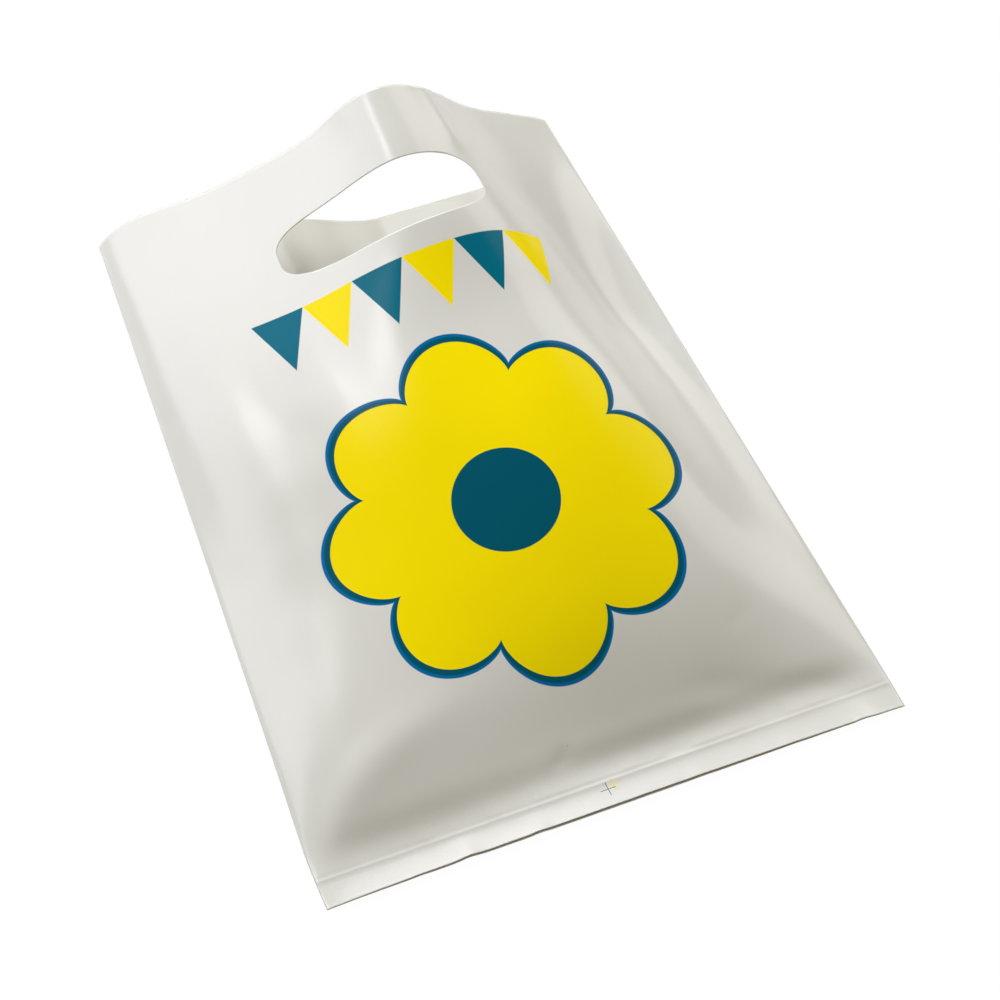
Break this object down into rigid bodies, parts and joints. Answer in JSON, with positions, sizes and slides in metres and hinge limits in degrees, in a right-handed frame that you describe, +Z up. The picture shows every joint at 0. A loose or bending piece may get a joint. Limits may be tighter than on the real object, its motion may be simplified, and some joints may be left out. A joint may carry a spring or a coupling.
{
  "type": "plastic carrier bag",
  "caption": "Flat-made film carrier bag lying on its back with its mouth open: welded bottom with a skirt, folded sides and a punched hand hole.",
  "frame": {"origin": "on the table, under the middle of the bag as it lies", "axes": "+Z up from the table, +Y from the bottom weld to the mouth, +X across the bag to the right, seen from above"},
  "size_m": [0.2004, 0.2656, 0.0718],
  "materials": {
    "film": "glossy white film with a printed flower and a row of pennants in yellow and blue"
  },
  "bodies": {
    "root": {"bag": "film"}
  },
  "joints": []
}
